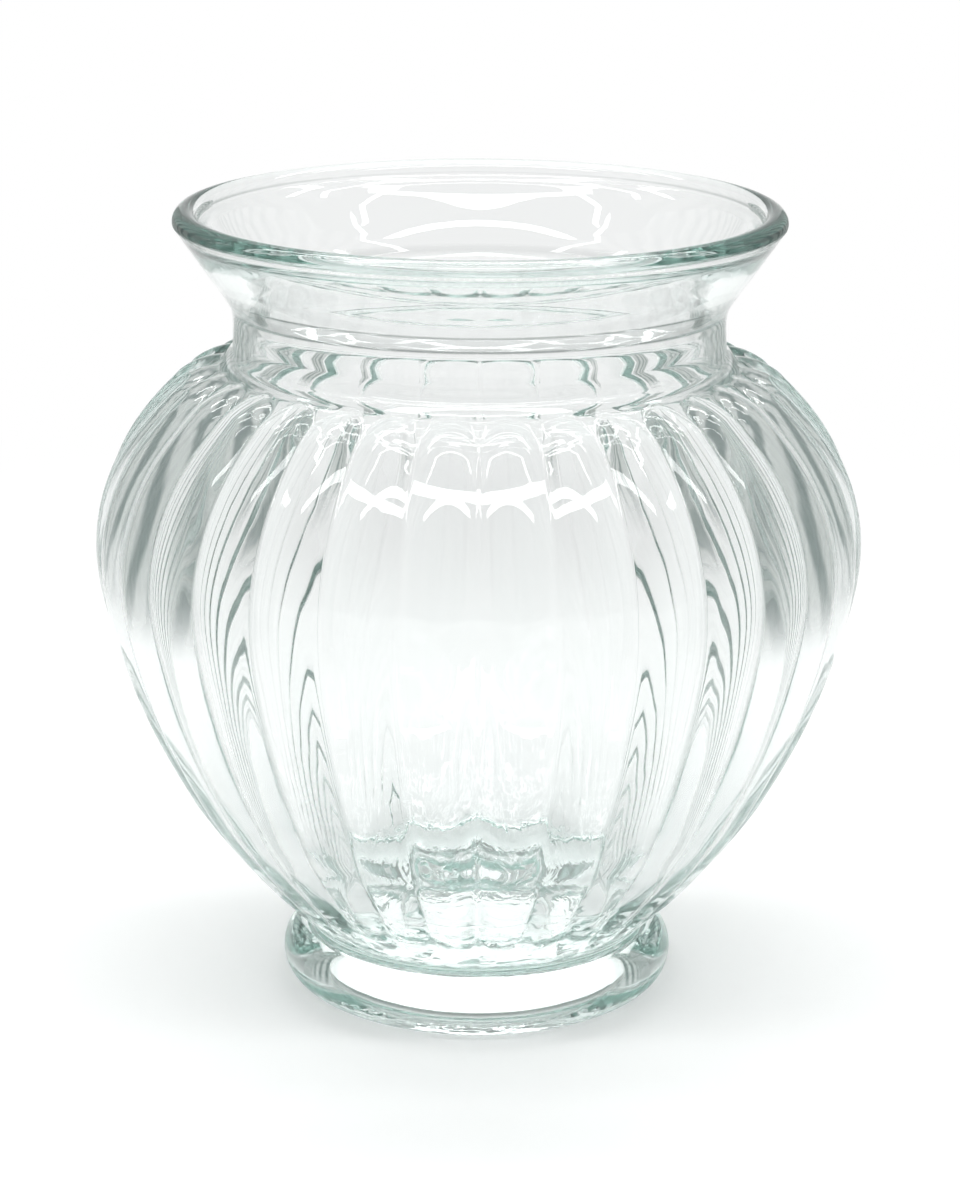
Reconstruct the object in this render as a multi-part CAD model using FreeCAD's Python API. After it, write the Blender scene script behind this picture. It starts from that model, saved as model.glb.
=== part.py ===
import FreeCAD, Part
import math
import os

# Ribbed glass vase, one continuous piece of machine-moulded glass.
# It is drawn in the three zones that its mould forms one above the other: the foot,
# the lobed bowl, and the collar with its neck, flare and rounded lip.
# Millimetres, +Z up, origin on the table under the middle of the foot.
# Round stretches are true arcs, walked in short steps so that the facets stay few.

# Overall height, and the three widths that set the outline
height = 200.0
belly_radius = 96.1
neck_radius = 60.8
foot_radius = 50.0

# Collar: rounded lip, flared wall and straight neck
collar_rise = 35.0
neck_length = 10.4
neck_wall = 4.0
flare_reach = 14.3
flare_wall = 7.8
flare_round = 8.0
lip_width = 6.25
lip_inner_drop = 5.4
lip_steps = 6
flare_steps = 3

# Bowl: outline over the crests of the lobes, and the blown wall inside it
belly_height_share = 0.66
belly_turn_radius = 17.0
belly_turn_angle = 9.5
waist_inset = 6.9
waist_length = 2.0
bowl_wall = 4.6
floor_inset = 7.1
floor_thickness = 4.6
floor_round = 9.0
wall_sides = 64
wall_shoulder_steps = 6
wall_skirt_steps = 7
floor_steps = 3

# Lobes: equal convex ribs with a narrow valley between neighbours
lobe_count = 32
lobe_depth = 2.2
finger_length = 6.0
lobe_chord_shares = (-1.0, -0.5, 0.0, 0.5)
lobe_shoulder_steps = 6
lobe_skirt_steps = 8

# Foot: half-round bead that stands on a flat ring round the push-up
foot_bead_round = 7.45
rest_width = 5.55
push_up = 10.0
push_up_side = 7.2
push_up_run = 6.5
push_up_shoulder = 9.5
bead_steps = 7

# Levels at which the foot, the bowl and the collar meet
foot_joint_height = 2 * foot_bead_round + waist_length / 2
collar_joint_height = height - collar_rise

# Sizes worked out from those above
waist_radius = foot_radius - waist_inset
waist_height = foot_joint_height + waist_length / 2
floor_radius = waist_radius - floor_inset
floor_height = foot_joint_height + floor_thickness
belly_height = foot_joint_height + (collar_joint_height - foot_joint_height) * belly_height_share
bore_radius = neck_radius - neck_wall
flare_height = collar_joint_height + neck_length
lip_radius = neck_radius + flare_reach
lip_round = lip_width / 2
lip_height = height - lip_round
flare_slope = flare_reach / (lip_height - flare_height)


def at(radius, level):
    return FreeCAD.Vector(radius, 0, level)


def on_arc(centre, radius, angle):
    return centre + at(math.cos(angle), math.sin(angle)) * radius


def walk(centre, radius, first, last, steps):
    """Points along an arc from one angle to another, both ends included."""
    return [on_arc(centre, radius, first + (last - first) * index / steps)
            for index in range(steps + 1)]


def rounded(before, corner, after, rounding, steps):
    """Points that round the corner of an outline with an arc tangent to both its sides."""
    back = (before - corner).normalize()
    ahead = (after - corner).normalize()
    half_angle = back.getAngle(ahead) / 2
    run = rounding / math.tan(half_angle)
    centre = corner + (back + ahead).normalize() * (rounding / math.sin(half_angle))
    start = corner + back * run - centre
    end = corner + ahead * run - centre
    first = math.atan2(start.z, start.x)
    sweep = math.atan2(end.z, end.x) - first
    sweep = (sweep + math.pi) % (2 * math.pi) - math.pi
    return walk(centre, rounding, first, first + sweep, steps)


def turned(points):
    """Solid made by turning a closed outline about the upright axis."""
    outline = Part.makePolygon(points + points[:1])
    return Part.Face(outline).revolve(FreeCAD.Vector(0, 0, 0), FreeCAD.Vector(0, 0, 1), 360)


def shoulder_arc(inset):
    """Centre and radius of the arc from the upright belly to the foot of the neck."""
    side = belly_radius - neck_radius
    rise = collar_joint_height - belly_height
    radius = (side ** 2 + rise ** 2) / (2 * side)
    return at(belly_radius - radius, belly_height), radius - inset


def belly_arc(inset):
    """Centre and radius of the short arc that turns the belly towards the waist."""
    return at(belly_radius - belly_turn_radius, belly_height), belly_turn_radius - inset


def skirt_arc(inset, end):
    """Centre and radius of the arc that goes on from the belly arc and passes an end point."""
    turn = math.radians(-belly_turn_angle)
    outwards = at(math.cos(turn), math.sin(turn))
    start = on_arc(*belly_arc(inset), turn)
    fall = start - end
    radius = fall.Length ** 2 / (2 * outwards.dot(fall))
    return start - outwards * radius, radius


def radius_at_level(arc, level):
    """Distance from the upright axis of an arc's outer side at a level."""
    centre, radius = arc
    return centre.x + math.sqrt(max(radius ** 2 - (level - centre.z) ** 2, 0))


def crest_radius(level):
    """Distance from the axis to the lobes' crests at a level."""
    if level <= waist_height:
        return waist_radius
    skirt_top = on_arc(*belly_arc(0), math.radians(-belly_turn_angle)).z
    if level >= belly_height:
        return radius_at_level(shoulder_arc(0), level)
    if level >= skirt_top:
        return radius_at_level(belly_arc(0), level)
    return radius_at_level(skirt_arc(0, at(waist_radius, waist_height)), level)


def valley_radius(level):
    """Distance from the axis to the valleys at a level.

    They lie one lobe depth under the crests, measured square to the wall, stop at the
    neck above, and rise to the crests over the length of the pointed fingers below.
    """
    crest = crest_radius(level)
    if level >= belly_height:
        return max(radius_at_level(shoulder_arc(lobe_depth), level), neck_radius)
    centre, radius = skirt_arc(0, at(waist_radius, waist_height))
    inset = radius_at_level((centre, radius - lobe_depth), level)
    fade = max(min((level - waist_height) / finger_length, 1), 0)
    return crest - (crest - inset) * fade


def lobed_ring(level):
    """Points all round the bowl at a level, over the lobes and through the valleys."""
    crest = crest_radius(level)
    valley = valley_radius(level)
    points = []
    for lobe in range(lobe_count):
        for share in lobe_chord_shares:
            angle = 2 * math.pi * (lobe + (1 + share) / 2) / lobe_count
            radius = valley + (crest - valley) * (1 - share ** 2)
            points.append(FreeCAD.Vector(radius * math.cos(angle), radius * math.sin(angle), level))
    return points


def lobe_levels():
    """Levels of the lobed rings, spread evenly in angle along the skirt and the shoulder."""
    waist = at(waist_radius, waist_height)
    centre, radius = skirt_arc(0, waist)
    low = math.asin((waist_height - centre.z) / radius)
    high = math.radians(-belly_turn_angle)
    levels = [foot_joint_height]
    levels += [point.z for point in walk(centre, radius, low, high, lobe_skirt_steps)]
    centre, radius = shoulder_arc(0)
    top = math.asin((collar_joint_height - belly_height) / radius)
    levels += [point.z for point in walk(centre, radius, 0, top, lobe_shoulder_steps)]
    return levels


def plain_ring(radius, level):
    """Points evenly spread round the upright axis at a level."""
    turn = 2 * math.pi / wall_sides
    return [FreeCAD.Vector(radius * math.cos(turn * side), radius * math.sin(turn * side), level)
            for side in range(wall_sides)]


def flat_face(*points):
    return Part.Face(Part.makePolygon([*points, points[0]]))


def faceted(rings):
    """Solid with flat facets from ring to ring, closed flat at its first and last ring."""
    faces = [flat_face(*rings[0]), flat_face(*rings[-1])]
    for lower, upper in zip(rings, rings[1:]):
        for index in range(len(lower)):
            faces.append(flat_face(lower[index - 1], lower[index], upper[index - 1]))
            faces.append(flat_face(lower[index], upper[index], upper[index - 1]))
    return Part.makeSolid(Part.makeShell(faces))


def make_ribbed_body():
    """The bowl as its mould shapes it outside, filled."""
    return faceted([lobed_ring(level) for level in lobe_levels()])


def make_cavity():
    """Hollow of the bowl: the thick floor, the blown wall and the bore of the neck."""
    corner = at(floor_radius, floor_height)
    centre, radius = skirt_arc(bowl_wall, corner)
    low = math.asin((floor_height - centre.z) / radius)
    high = math.radians(-belly_turn_angle)
    skirt = walk(centre, radius, low, high, wall_skirt_steps)
    heel = rounded(at(0, floor_height), corner, skirt[1], floor_round, floor_steps)
    centre, radius = shoulder_arc(bowl_wall)
    bore_angle = math.acos((bore_radius - centre.x) / radius)
    shoulder = walk(centre, radius, 0, bore_angle, wall_shoulder_steps)
    outline = [*heel, *skirt[1:], *shoulder, at(bore_radius, collar_joint_height)]
    return faceted([plain_ring(point.x, point.z) for point in outline])


def make_bowl():
    return make_ribbed_body().cut(make_cavity())


def make_collar():
    crease_height = height - lip_inner_drop
    crease_radius = neck_radius + (crease_height - flare_height) * flare_slope - flare_wall
    throat_height = flare_height + (bore_radius + flare_wall - neck_radius) / flare_slope
    neck_foot = at(neck_radius, collar_joint_height)
    neck_head = at(neck_radius, flare_height)
    flare_head = at(lip_radius, lip_height)
    return turned([
        neck_foot,
        *rounded(neck_foot, neck_head, flare_head, flare_round, flare_steps),
        *walk(at(lip_radius - lip_round, lip_height), lip_round, 0, math.pi, lip_steps),
        at(crease_radius, crease_height),
        at(bore_radius, throat_height),
        at(bore_radius, collar_joint_height),
    ])


def make_foot():
    bead_centre = at(foot_radius - foot_bead_round, foot_bead_round)
    bead_top = math.acos((waist_radius - bead_centre.x) / foot_bead_round)
    rest_inner_radius = bead_centre.x - rest_width
    side_radius = rest_inner_radius - push_up_run
    return turned([
        at(0, foot_joint_height),
        at(waist_radius, foot_joint_height),
        *walk(bead_centre, foot_bead_round, bead_top, -math.pi / 2, bead_steps),
        at(rest_inner_radius, 0),
        at(side_radius, push_up_side),
        at(side_radius - push_up_shoulder, push_up),
        at(0, push_up),
    ])


os.makedirs("parts", exist_ok=True)
nodes = {
    "foot": make_foot(),
    "bowl": make_bowl(),
    "collar": make_collar(),
}
for name, shape in nodes.items():
    print(name, "solids", len(shape.Solids), "valid", shape.isValid(), "faces", len(shape.Faces),
          "volume_cm3", round(shape.Volume / 1000, 2), "top", round(shape.BoundBox.ZMax, 3))
    shape.exportStep("parts/" + name + ".step")
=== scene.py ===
import math

import bpy
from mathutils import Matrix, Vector
from mathutils.kdtree import KDTree


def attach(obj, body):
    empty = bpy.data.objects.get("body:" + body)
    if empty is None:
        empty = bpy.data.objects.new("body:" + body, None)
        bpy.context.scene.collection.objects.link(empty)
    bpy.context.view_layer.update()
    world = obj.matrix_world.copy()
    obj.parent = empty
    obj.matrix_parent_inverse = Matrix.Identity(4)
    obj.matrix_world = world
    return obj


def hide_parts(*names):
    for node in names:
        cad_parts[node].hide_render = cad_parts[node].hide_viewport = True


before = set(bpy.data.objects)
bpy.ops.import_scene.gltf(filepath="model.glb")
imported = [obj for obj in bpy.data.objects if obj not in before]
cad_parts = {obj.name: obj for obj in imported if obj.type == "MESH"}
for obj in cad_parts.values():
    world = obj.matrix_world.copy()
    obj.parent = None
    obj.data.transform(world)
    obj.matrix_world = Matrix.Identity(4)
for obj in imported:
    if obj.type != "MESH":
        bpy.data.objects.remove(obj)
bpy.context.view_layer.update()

# Camera
# A long lens a little above the vase, about 0.8 m away, that looks down on the rim.
# It leans by a third of a degree.
bpy.ops.object.camera_add(location=(0.0004, -0.810, 0.3403))
camera = bpy.context.object
camera.rotation_mode = "ZXY"
camera.rotation_euler = (math.radians(73.45), 0, math.radians(0.29))
camera.data.lens = 100.44
camera.data.sensor_width = 36
bpy.context.scene.camera = camera

# Floor
# A sweep of matt white card, lit evenly, with the vase's soft shadow on it. The lens, and the
# glass that shows the card, see it a little lifted, and pure white beyond the shadow.
shadow_radius = 0.18
white_radius = 0.6
lift_of_card = 0.2
painted_glow_strength = 0.7


def linear(hex_colour):
    """Linear colour, with alpha, from an sRGB hex value such as "8fb9b2"."""
    shares = [int(hex_colour[place:place + 2], 16) / 255 for place in (0, 2, 4)]
    return (*[share / 12.92 if share <= 0.04045 else ((share + 0.055) / 1.055) ** 2.4
              for share in shares], 1)


def node(tree, kind, settings={}, links={}):
    """Adds one node, with its own settings, its sockets' values, and links from other outputs."""
    made = tree.nodes.new(kind)
    for name, value in settings.items():
        if isinstance(name, str) and hasattr(made, name):
            setattr(made, name, value)
        else:
            made.inputs[name].default_value = value
    for name, output in links.items():
        tree.links.new(output, made.inputs[name])
    return made


bpy.ops.object.select_all(action="DESELECT")
bpy.ops.mesh.primitive_plane_add(size=9, location=(0, 0, -0.0001))
floor = bpy.context.object
floor.name = "floor"
card = bpy.data.materials.new("matt_white_card")
card.use_nodes = True
tree = card.node_tree
tree.nodes.clear()
path = node(tree, "ShaderNodeLightPath")
seen = node(tree, "ShaderNodeMath", {"operation": "ADD"},
            {0: path.outputs["Is Camera Ray"], 1: path.outputs["Is Transmission Ray"]})
seen = node(tree, "ShaderNodeMath", {"operation": "ADD", "use_clamp": True},
            {0: seen.outputs[0], 1: path.outputs["Is Glossy Ray"]})
place = node(tree, "ShaderNodeTexCoord").outputs["Object"]
distance = node(tree, "ShaderNodeVectorMath", {"operation": "LENGTH"}, {0: place})

# Pure white where the shadow has faded out
beyond = node(tree, "ShaderNodeMapRange",
              {"interpolation_type": "SMOOTHSTEP",
               "From Min": shadow_radius, "From Max": white_radius},
              {"Value": distance.outputs["Value"]})
fade = node(tree, "ShaderNodeMath", {"operation": "MULTIPLY"},
            {0: seen.outputs[0], 1: beyond.outputs[0]})

# Painted pool of light under the foot, seen only through the glass, for the lamps' light the base
# gathers
painted_glow_under_foot = node(tree, "ShaderNodeMapRange",
                  {"From Min": 0.055, "From Max": 0.036, "To Min": 0.0, "To Max": painted_glow_strength},
                  {"Value": distance.outputs["Value"]})
painted_glow_under_foot = node(tree, "ShaderNodeMath", {"operation": "MULTIPLY"},
                  {0: painted_glow_under_foot.outputs[0], 1: path.outputs["Is Transmission Ray"]})
# The emission lift: the card's even lift, plus the painted glow under the foot
lift = node(tree, "ShaderNodeMath", {"operation": "MULTIPLY_ADD", 1: lift_of_card},
            {0: seen.outputs[0], 2: painted_glow_under_foot.outputs[0]})

# The card's own fibres, about a millimetre long and hardly darker than the card
fibres = node(tree, "ShaderNodeTexNoise", {"Scale": 900, "Detail": 2}, {"Vector": place})
tone = node(tree, "ShaderNodeValToRGB", {}, {"Fac": fibres.outputs["Fac"]})
tone.color_ramp.elements[0].color = linear("f2f2f2")
tone.color_ramp.elements[1].color = linear("f4f4f4")
matt = node(tree, "ShaderNodeBsdfPrincipled",
            {"Roughness": 0.9, "Specular IOR Level": 0.0, "Emission Color": linear("ffffff")},
            {"Base Color": tone.outputs["Color"], "Emission Strength": lift.outputs[0]})
sweep = node(tree, "ShaderNodeEmission", {"Color": linear("ffffff"), "Strength": 1.0})
both = node(tree, "ShaderNodeMixShader", {},
            {0: fade.outputs[0], 1: matt.outputs["BSDF"], 2: sweep.outputs[0]})
node(tree, "ShaderNodeOutputMaterial", {}, {"Surface": both.outputs[0]})
floor.data.materials.append(card)

# Side cards
# Two sheets of pleated grey card, one on either side of the vase. Its rounded sides mirror
# them as fine upright lines, which fade out near the table. The lens and the floor don't see
# them, and they cast no shadow.
card_length = 0.9
card_height = 0.42
card_distance = 0.23
card_middle = 0.3
hem_height = 0.09
pleated = bpy.data.materials.new("pleated_grey_card")
pleated.use_nodes = True
tree = pleated.node_tree
place = node(tree, "ShaderNodeTexCoord").outputs["Object"]

# Uneven upright pleats, about 60 mm from one to the next
pleats = node(tree, "ShaderNodeTexWave",
              {"bands_direction": "Y", "Scale": 5, "Distortion": 1.2, "Detail": 1.0,
               "Detail Scale": 0.6},
              {"Vector": place})
tone = node(tree, "ShaderNodeValToRGB", {}, {"Fac": pleats.outputs["Fac"]})
tone.color_ramp.elements[0].position = 0.15
tone.color_ramp.elements[0].color = linear("97a2a0")
tone.color_ramp.elements[1].position = 0.55
tone.color_ramp.elements[1].color = linear("e2e5e3")
paper = tree.nodes["Principled BSDF"]
paper.inputs["Roughness"].default_value = 0.95
tree.links.new(tone.outputs["Color"], paper.inputs["Base Color"])
upright = node(tree, "ShaderNodeSeparateXYZ", {}, {"Vector": place})
hem = node(tree, "ShaderNodeMapRange",
           {"interpolation_type": "SMOOTHSTEP", "From Min": 0.0, "From Max": hem_height},
           {"Value": upright.outputs["Z"]})
gap = node(tree, "ShaderNodeBsdfTransparent")
faded = node(tree, "ShaderNodeMixShader", {},
             {0: hem.outputs[0], 1: gap.outputs["BSDF"], 2: paper.outputs["BSDF"]})
tree.links.new(faded.outputs[0], tree.nodes["Material Output"].inputs["Surface"])
for side, name in ((-1, "card_left"), (1, "card_right")):
    bpy.ops.object.select_all(action="DESELECT")
    bpy.ops.mesh.primitive_plane_add(size=1, rotation=(0, math.pi / 2, 0))
    sheet = bpy.context.object
    sheet.name = name
    bpy.ops.transform.resize(value=(1, card_length, card_height))
    bpy.ops.transform.translate(value=(card_distance * side, card_middle, card_height / 2))
    bpy.ops.object.transform_apply(location=True, rotation=True, scale=True)
    sheet.data.materials.append(pleated)
    sheet.visible_camera = sheet.visible_shadow = sheet.visible_diffuse = False

# Lamps
# Four long strip lamps that hang across the studio, from the front of the vase to just
# behind it. Each crest of the shoulder mirrors them as a ladder of short white arches.
lamp_length = 2.4
lamp_distance = 1.5
watts_per_metre = 77
aim_height = 0.1
angles_and_widths = ((60, 0.12), (80, 0.05), (99, 0.08), (116, 0.12))
for number, (angle, width) in enumerate(angles_and_widths, 1):
    lean = math.radians(angle)
    bpy.ops.object.light_add(
        type="AREA",
        location=(0, -lamp_distance * math.cos(lean), aim_height + lamp_distance * math.sin(lean)),
        rotation=(math.radians(90 - angle), 0, 0))
    strip = bpy.context.object
    strip.name = "strip_lamp_" + str(number)
    strip.data.shape = "RECTANGLE"
    strip.data.size = lamp_length
    strip.data.size_y = width
    strip.data.energy = watts_per_metre * width

# Studio walls
# Pale walls, whitest low down, greyer towards the ceiling between the lamps, and dimmer
# behind the lens, so that the front of the glass keeps a thin grey veil.
world = bpy.data.worlds.new("studio_walls")
bpy.context.scene.world = world
world.use_nodes = True
tree = world.node_tree
tree.nodes.clear()
way = node(tree, "ShaderNodeSeparateXYZ", {},
           {"Vector": node(tree, "ShaderNodeTexCoord").outputs["Generated"]})
rise = node(tree, "ShaderNodeValToRGB", {}, {"Fac": way.outputs["Z"]})
rise.color_ramp.elements[0].position = 0.02
rise.color_ramp.elements[0].color = linear("ffffff")
rise.color_ramp.elements[1].position = 0.42
rise.color_ramp.elements[1].color = linear("959b99")
dimmer = node(tree, "ShaderNodeMapRange",
              {"From Min": -0.1, "From Max": -0.7, "To Min": 1.0, "To Max": 0.5},
              {"Value": way.outputs["Y"]})
walls = node(tree, "ShaderNodeBackground", {},
             {"Color": rise.outputs["Color"], "Strength": dimmer.outputs[0]})
white = node(tree, "ShaderNodeBackground", {"Color": linear("ffffff"), "Strength": 1.0})
path = node(tree, "ShaderNodeLightPath")
shown = node(tree, "ShaderNodeMixShader", {},
             {0: path.outputs["Is Camera Ray"], 1: walls.outputs[0], 2: white.outputs[0]})
node(tree, "ShaderNodeOutputWorld", {}, {"Surface": shown.outputs[0]})

# Vase
# One piece of clear soda-lime glass, blown and pressed in a metal mould: a ring foot, a bowl
# of 32 convex lobes with round tips under the neck, a straight neck, a flare and a thick
# rounded lip. It is drawn as half its cut section and turned round the upright axis.
height = 0.2
belly_radius = 0.0964
belly_height = 0.11429
neck_radius = 0.0608
neck_base = 0.165
waist_radius = 0.0431
waist_height = 0.0169
wall = 0.0046
neck_wall = 0.004
floor_height = 0.0205
push_up = 0.0100
bead_round = 0.00745
lip_radius = 0.0751
lip_round = 0.003125


def arc(centre, radius, first, last, steps):
    """Points along an arc in the section, as (radius, height), angles in degrees."""
    turns = [math.radians(first + (last - first) * index / steps) for index in range(steps + 1)]
    return [(centre[0] + radius * math.cos(turn), centre[1] + radius * math.sin(turn))
            for turn in turns]


def line(start, end, steps):
    """Points along a straight run in the section, its start left out."""
    return [(start[0] + (end[0] - start[0]) * index / steps,
             start[1] + (end[1] - start[1]) * index / steps) for index in range(1, steps + 1)]


def turn_of(centre, point):
    """Angle in degrees of a point as seen from an arc's centre."""
    return math.degrees(math.atan2(point[1] - centre[1], point[0] - centre[0]))


# Arcs of the bowl: shoulder, short belly turn, and the long skirt down to the waist
side = belly_radius - neck_radius
rise_to_neck = neck_base - belly_height
shoulder_radius = (side ** 2 + rise_to_neck ** 2) / (2 * side)
shoulder_centre = (belly_radius - shoulder_radius, belly_height)
turn_radius = 0.017
turn_centre = (belly_radius - turn_radius, belly_height)
turn_end = -9.5


def skirt(inset, end):
    """Centre and radius of the skirt's arc from the belly turn to an end point."""
    outwards = (math.cos(math.radians(turn_end)), math.sin(math.radians(turn_end)))
    start = (turn_centre[0] + (turn_radius - inset) * outwards[0],
             turn_centre[1] + (turn_radius - inset) * outwards[1])
    fall = (start[0] - end[0], start[1] - end[1])
    radius = (fall[0] ** 2 + fall[1] ** 2) / (2 * (outwards[0] * fall[0] + outwards[1] * fall[1]))
    return (start[0] - radius * outwards[0], start[1] - radius * outwards[1]), radius


waist = (waist_radius, waist_height)
skirt_centre, skirt_radius = skirt(0, waist)
inner_centre, inner_radius = skirt(wall, (0.036, floor_height))
inner_end = turn_of(inner_centre, (0.0425, 0.0272))
neck_foot = turn_of(shoulder_centre, (neck_radius, neck_base))
tips_start = neck_foot - math.degrees(0.016 / shoulder_radius)
tip_steps = 16
bore = neck_radius - neck_wall
bore_foot = math.degrees(math.acos((bore - shoulder_centre[0]) / (shoulder_radius - wall)))
bead_centre = (0.04255, bead_round)
lip_centre = (lip_radius - lip_round, height - lip_round)

# Underside: the push-up with its soft edge, and the standing ring
outline = [(0, push_up), (0.010, push_up), (0.0185, push_up), (0.0225, 0.0096), (0.0262, 0.0086)]
outline += [(0.0293, 0.0071), (0.0318, 0.0053), (0.0338, 0.0035), (0.0354, 0.0018)]
outline += [(0.0365, 0.0005), (0.0370, 0), *line((0.0370, 0), (0.0415, 0), 2)]

# Outside: foot bead, waist, then the bowl, with closer steps where the lobes' tips are
outline += arc(bead_centre, bead_round, -88, 84, 22)
outline += [(waist_radius, 0.0153), (waist_radius, 0.0161)]
lobes_begin = len(outline)
outline += arc(skirt_centre, skirt_radius, turn_of(skirt_centre, waist), turn_end, 40)
outline += arc(turn_centre, turn_radius, turn_end, 0, 2)[1:]
outline += arc(shoulder_centre, shoulder_radius, 0, tips_start, 22)[1:]
outline += arc(shoulder_centre, shoulder_radius, tips_start, neck_foot, tip_steps)[1:]
lobes_end = len(outline)

# Collar: neck, flare and lip, then down the throat and the bore
outline += line((neck_radius, neck_base), (neck_radius, 0.1735), 2)
outline += [(0.06095, 0.1750), (0.0614, 0.1764), (0.0622, 0.1779)]
outline += line((0.0622, 0.1779), (0.0749, 0.1962), 5)
outline += arc(lip_centre, lip_round, -6, 186, 20)
outline += [(0.0685, 0.1961), (0.0672, 0.1953), (0.0661, 0.1942)]
outline += line((0.0661, 0.1942), (0.0576, 0.1822), 3)
outline += [(0.0572, 0.1812), (0.05685, 0.1800), (bore, 0.1785)]
outline += line((bore, 0.1785), (bore, 0.1640), 2)

# Inside: blown wall, soft heel and flat floor
wall_begin = len(outline)
outline += arc(shoulder_centre, shoulder_radius - wall, bore_foot, 0, 18)[1:]
outline += arc(turn_centre, turn_radius - wall, 0, turn_end, 1)[1:]
outline += arc(inner_centre, inner_radius, turn_end, inner_end, 25)[1:]
wall_end = len(outline)
outline += [(0.0407, 0.0253), (0.0385, 0.0238), (0.0358, 0.0226), (0.0326, 0.0217)]
outline += [(0.0290, 0.0211), (0.0250, 0.0207), (0.0210, floor_height)]
outline += line((0.0210, floor_height), (0, floor_height), 3)

# The belly's arcs run softly into each other, outside up to the tips and inside
smoothing_passes = 24
for first, last in ((lobes_begin + 18, lobes_end - tip_steps - 1),
                    (wall_begin + 4, wall_end - 8)):
    for _ in range(smoothing_passes):
        for index in range(first, last):
            before, point, after = outline[index - 1:index + 2]
            outline[index] = ((before[0] + 2 * point[0] + after[0]) / 4,
                              (before[1] + 2 * point[1] + after[1]) / 4)

# The outline is drawn point by point and turned over the width of one lobe
lobes = 32
steps_per_lobe = 14
bpy.ops.object.select_all(action="DESELECT")
bpy.ops.mesh.primitive_plane_add(size=0.001)
vase = bpy.context.object
vase.name = "ribbed_glass"
bpy.ops.object.mode_set(mode="EDIT")
bpy.ops.mesh.merge(type="CENTER")
bpy.ops.transform.translate(value=(outline[0][0], 0, outline[0][1]))
for before, after in zip(outline, outline[1:]):
    bpy.ops.mesh.extrude_region_move(TRANSFORM_OT_translate={
        "value": (after[0] - before[0], 0, after[1] - before[1])})
bpy.ops.mesh.select_all(action="SELECT")
bpy.ops.mesh.spin(steps=steps_per_lobe, angle=2 * math.pi / lobes,
                  center=(0, 0, 0), axis=(0, 0, 1))
bpy.ops.object.mode_set(mode="OBJECT")

# Lobes: each vertex of the bowl moves square to the wall, into the valleys outside, and by
# a fraction of that inside, where the blown wall follows the mould only faintly
depth = 0.0023
depth_low = 0.0011
tip_gap = 0.0042
tip_length = 1.7
valley_round = 0.2
ripple = 0.0003
ripple_outwards = 0.67
crowding = 0.25
section = KDTree(len(outline))
for index, (across, level) in enumerate(outline):
    section.insert((across, 0, level), index)
section.balance()


def eased(value, start, end):
    """Soft step from 0 at the start to 1 at the end."""
    share = max(0, min(1, (value - start) / (end - start)))
    return share * share * (3 - 2 * share)


def lobe_height(part_of_lobe, level):
    """Height over the valley, from 0 to 1 on the crest: a parabola on the shoulder, and one
    with a rounded valley below the belly."""
    from_valley = 1 - abs(part_of_lobe)
    sharp = 1 - part_of_lobe ** 2
    soft = (sharp - valley_round) / (1 - valley_round)
    if from_valley <= valley_round:
        soft = from_valley ** 2 / valley_round
    return soft + (sharp - soft) * eased(level, 0.09, 0.12)


for vertex in vase.data.vertices:
    across, level = math.hypot(vertex.co.x, vertex.co.y), vertex.co.z
    angle = math.atan2(vertex.co.y, vertex.co.x)
    # From -1 in one valley through 0 on the crest to 1 in the next, crowded to the valleys
    part_of_lobe = (angle * lobes / (2 * math.pi)) % 1 * 2 - 1
    swing = crowding * part_of_lobe * (1 - part_of_lobe ** 2)
    part_of_lobe += swing
    angle += swing * math.pi / lobes
    index = section.find((across, 0, level))[1]
    if lobes_begin <= index < lobes_end:
        from_neck = math.dist(outline[index], outline[lobes_end - 1])
        half_width = across * math.pi / lobes
        to_tip = max(0, 1 - (from_neck - tip_gap) / (tip_length * half_width))
        finger = max(0, lobe_height(part_of_lobe, level) - to_tip ** 2)
        inset = depth_low + (depth - depth_low) * eased(level, 0.05, 0.1)
        inset *= eased(from_neck, 0, 0.005) * eased(level, 0.018, 0.032)
        move = inset * (finger - 1)
    elif wall_begin <= index < wall_end:
        fade = eased(level, 0.026, 0.038) * (1 - eased(level, 0.149, 0.161))
        follow = ripple * eased(level, 0.055, 0.105) * fade
        move = follow * (part_of_lobe ** 2 - ripple_outwards)
    else:
        move = 0
    if move:
        before, after = outline[index - 1], outline[index + 1]
        run = math.dist(before, after)
        across += move * (after[1] - before[1]) / run
        level -= move * (after[0] - before[0]) / run
    vertex.co = Vector((across * math.cos(angle), across * math.sin(angle), level))

# The one lobe is repeated all round, and the seams between the copies are joined
bpy.ops.object.mode_set(mode="EDIT")
bpy.ops.mesh.select_all(action="SELECT")
bpy.ops.mesh.spin(steps=lobes - 1, dupli=True, angle=2 * math.pi * (1 - 1 / lobes),
                  center=(0, 0, 0), axis=(0, 0, 1))
bpy.ops.mesh.select_all(action="SELECT")
bpy.ops.mesh.remove_doubles(threshold=0.000001)
bpy.ops.mesh.normals_make_consistent(inside=False)
bpy.ops.object.mode_set(mode="OBJECT")
bpy.ops.object.shade_smooth()

# Soda-lime glass, fire-polished by the mould's heat: clear, with a faint sea-green tint that
# shows where the eye looks along the wall, and a soft unevenness that bends the reflections
glass = bpy.data.materials.new("moulded_soda_lime_glass")
glass.use_nodes = True
tree = glass.node_tree
tree.nodes.clear()
place = node(tree, "ShaderNodeTexCoord").outputs["Object"]
upright = node(tree, "ShaderNodeSeparateXYZ", {}, {"Vector": place}).outputs["Z"]

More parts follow.
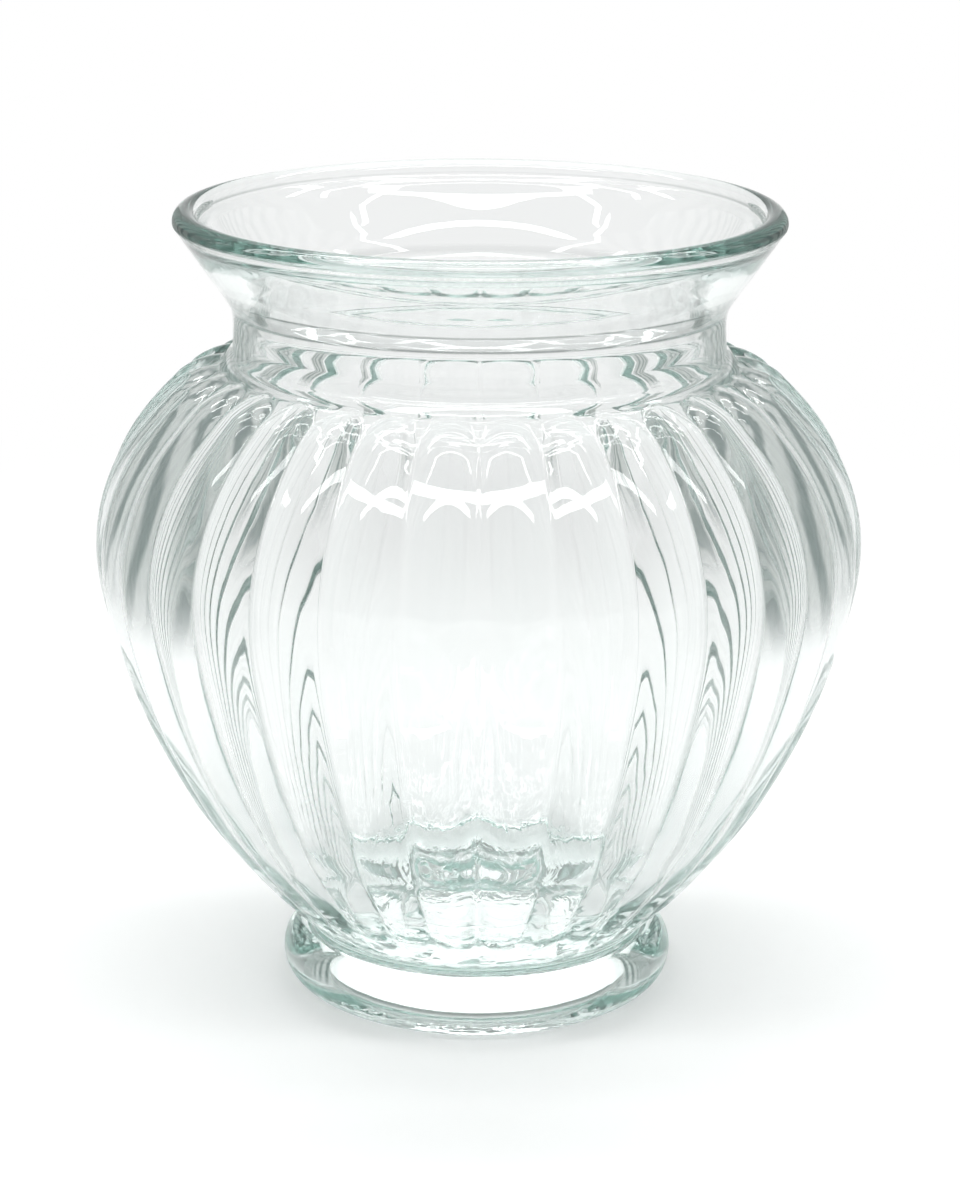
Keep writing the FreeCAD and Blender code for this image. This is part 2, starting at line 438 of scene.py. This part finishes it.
# Faint streaks in the bowl, about 6 mm wide, drawn out to 80 mm as the wall was blown
drawn = node(tree, "ShaderNodeMapping", {"Scale": (1, 1, 0.07)}, {"Vector": place})
streaks = node(tree, "ShaderNodeTexNoise", {"Scale": 170, "Detail": 1.0},
               {"Vector": drawn.outputs["Vector"]})
in_bowl = node(tree, "ShaderNodeMapRange", {"From Min": 0.166, "From Max": 0.155},
               {"Value": upright})
streaks = node(tree, "ShaderNodeMath", {"operation": "MULTIPLY"},
               {0: streaks.outputs["Fac"], 1: in_bowl.outputs[0]})
streaked = node(tree, "ShaderNodeBump", {"Strength": 1.0, "Distance": 0.00004},
                {"Height": streaks.outputs[0]})

# Wavy skin of the thick floor, in dimples about 7 mm across
above_foot = node(tree, "ShaderNodeMapRange", {"From Min": 0.018, "From Max": 0.020},
                  {"Value": upright})
near_floor = node(tree, "ShaderNodeMapRange", {"From Min": 0.036, "From Max": 0.024},
                  {"Value": upright})
near_floor = node(tree, "ShaderNodeMath", {"operation": "MULTIPLY"},
                  {0: near_floor.outputs[0], 1: above_foot.outputs[0]})
dimples = node(tree, "ShaderNodeTexNoise", {"Scale": 140, "Detail": 1.0, "Distortion": 0.6},
               {"Vector": place})
dimples = node(tree, "ShaderNodeMath", {"operation": "MULTIPLY"},
               {0: dimples.outputs["Fac"], 1: near_floor.outputs[0]})
dimpled = node(tree, "ShaderNodeBump", {"Strength": 1.0, "Distance": 0.0013},
               {"Height": dimples.outputs[0], "Normal": streaked.outputs["Normal"]})
polished = node(tree, "ShaderNodeBsdfPrincipled",
                {"Base Color": linear("fafafa"), "Roughness": 0.0, "IOR": 1.5,
                 "Transmission Weight": 1.0},
                {"Normal": dimpled.outputs["Normal"]})

# Part of the lamps' light goes straight through to the floor, as the shadow of clear glass
# is a light one
path = node(tree, "ShaderNodeLightPath")
let_through = node(tree, "ShaderNodeBsdfTransparent", {"Color": linear("adafaf")})
surface = node(tree, "ShaderNodeMixShader", {},
               {0: path.outputs["Is Shadow Ray"], 1: polished.outputs["BSDF"],
                2: let_through.outputs["BSDF"]})
tint = node(tree, "ShaderNodeVolumeAbsorption", {"Color": linear("81c5b8"), "Density": 5.5})
node(tree, "ShaderNodeOutputMaterial", {},
     {"Surface": surface.outputs[0], "Volume": tint.outputs["Volume"]})
vase.data.materials.append(glass)
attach(vase, "root")
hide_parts("foot", "bowl", "collar")

# Light that runs along inside the lip and the foot is turned back many times on its way out
scene = bpy.context.scene
scene.cycles.max_bounces = 32
scene.cycles.glossy_bounces = 24
scene.cycles.transmission_bounces = 24
scene.view_settings.view_transform = "Standard"
